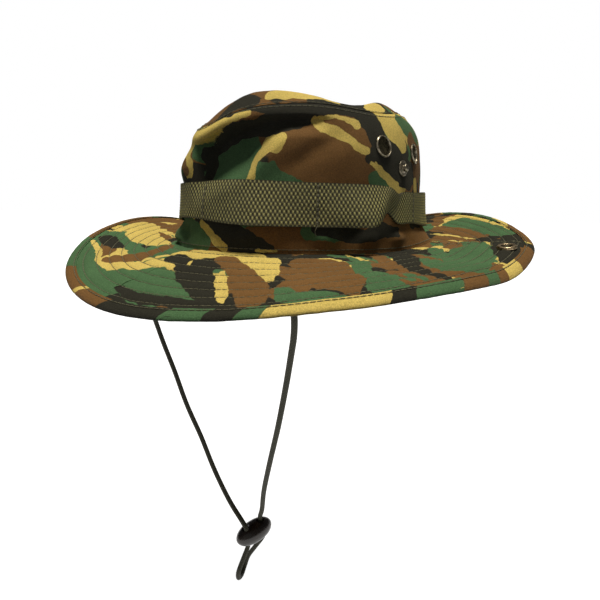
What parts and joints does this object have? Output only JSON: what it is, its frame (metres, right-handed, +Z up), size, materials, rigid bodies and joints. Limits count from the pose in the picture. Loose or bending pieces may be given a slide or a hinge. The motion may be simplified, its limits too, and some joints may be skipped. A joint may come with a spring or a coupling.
{
  "type": "boonie hat",
  "caption": "Soft cloth sun hat with a stitched wide brim that snaps up at the sides, a webbing band round the crown, screened vents and a chin cord with a slider.",
  "frame": {"origin": "centre of the head opening, in the plane where the crown is sewn to the brim", "axes": "+Z up through the crown; the front of the hat faces -Y; +X is the wearer's left side"},
  "size_m": [0.3046, 0.3309, 0.3569],
  "materials": {
    "camouflage_cloth": "cotton ripstop printed in green, brown, tan and black blotches",
    "interlining": "plain stiff cotton",
    "binding_tape": "the same printed cotton, cut on the bias and folded",
    "webbing": "coarse olive webbing",
    "thread": "olive sewing thread",
    "sweatband_cotton": "plain olive cotton twill",
    "aged_brass": "satin, lightly tarnished",
    "bronzed_brass": "dark bronzed, thin bright rim",
    "vent_mesh": "fine dark mesh",
    "braided_cord": "round olive braid",
    "dark_plastic": "polished, near black brown"
  },
  "bodies": {
    "hat": {"band_tack_1": "thread", "band_tack_2": "thread", "band_tack_3": "thread", "band_tack_4": "thread", "band_tack_5": "thread", "band_tack_6": "thread", "band_tack_7": "thread", "band_tack_8": "thread", "brim_binding_front": "binding_tape", "brim_binding_rear": "binding_tape", "brim_interlining_front": "interlining", "brim_interlining_rear": "interlining", "brim_lower_ply_front": "camouflage_cloth", "brim_lower_ply_rear": "camouflage_cloth", "brim_upper_ply_front": "camouflage_cloth", "brim_upper_ply_rear": "camouflage_cloth", "chin_cord": "braided_cord", "chin_cord_tab_left": "camouflage_cloth", "chin_cord_tab_right": "camouflage_cloth", "crown_back_seam_tape": "sweatband_cotton", "crown_side": "camouflage_cloth", "crown_top": "camouflage_cloth", "foliage_band": "webbing", "snap_stud_left": "aged_brass", "snap_stud_right": "aged_brass", "snap_washer_left": "aged_brass", "snap_washer_right": "aged_brass", "sweatband": "sweatband_cotton", "vent_left_front_eyelet": "bronzed_brass", "vent_left_front_screen": "vent_mesh", "vent_left_front_washer": "bronzed_brass", "vent_left_rear_eyelet": "bronzed_brass", "vent_left_rear_screen": "vent_mesh", "vent_left_rear_washer": "bronzed_brass", "vent_right_front_eyelet": "bronzed_brass", "vent_right_front_screen": "vent_mesh", "vent_right_front_washer": "bronzed_brass", "vent_right_rear_eyelet": "bronzed_brass", "vent_right_rear_screen": "vent_mesh", "vent_right_rear_washer": "bronzed_brass"},
    "left_side_brim": {"brim_binding_left": "binding_tape", "brim_interlining_left": "interlining", "brim_lower_ply_left": "camouflage_cloth", "brim_upper_ply_left": "camouflage_cloth", "snap_socket_left": "aged_brass", "snap_cap_left": "aged_brass"},
    "right_side_brim": {"brim_binding_right": "binding_tape", "brim_interlining_right": "interlining", "brim_lower_ply_right": "camouflage_cloth", "brim_upper_ply_right": "camouflage_cloth", "snap_socket_right": "aged_brass", "snap_cap_right": "aged_brass"},
    "slider": {"cord_slider": "dark_plastic"}
  },
  "joints": [
    {"name": "left_brim_fold", "type": "hinge", "parent": "hat", "child": "left_side_brim", "pos_m": [0.08366, 0.029, 0.00665], "axis": [0.2892, -0.9458, -0.148], "range_deg": [0, 97]},
    {"name": "right_brim_fold", "type": "hinge", "parent": "hat", "child": "right_side_brim", "pos_m": [-0.0895, 0.00005, -0.00023], "axis": [0, 0.9999, 0.0142], "range_deg": [0, 82.5]},
    {"name": "slider_slide", "type": "slide", "parent": "hat", "child": "slider", "axis": [-0.0289, -0.1361, 0.9903], "range_m": [0, 0.06], "deforming": ["chin_cord"]}
  ]
}
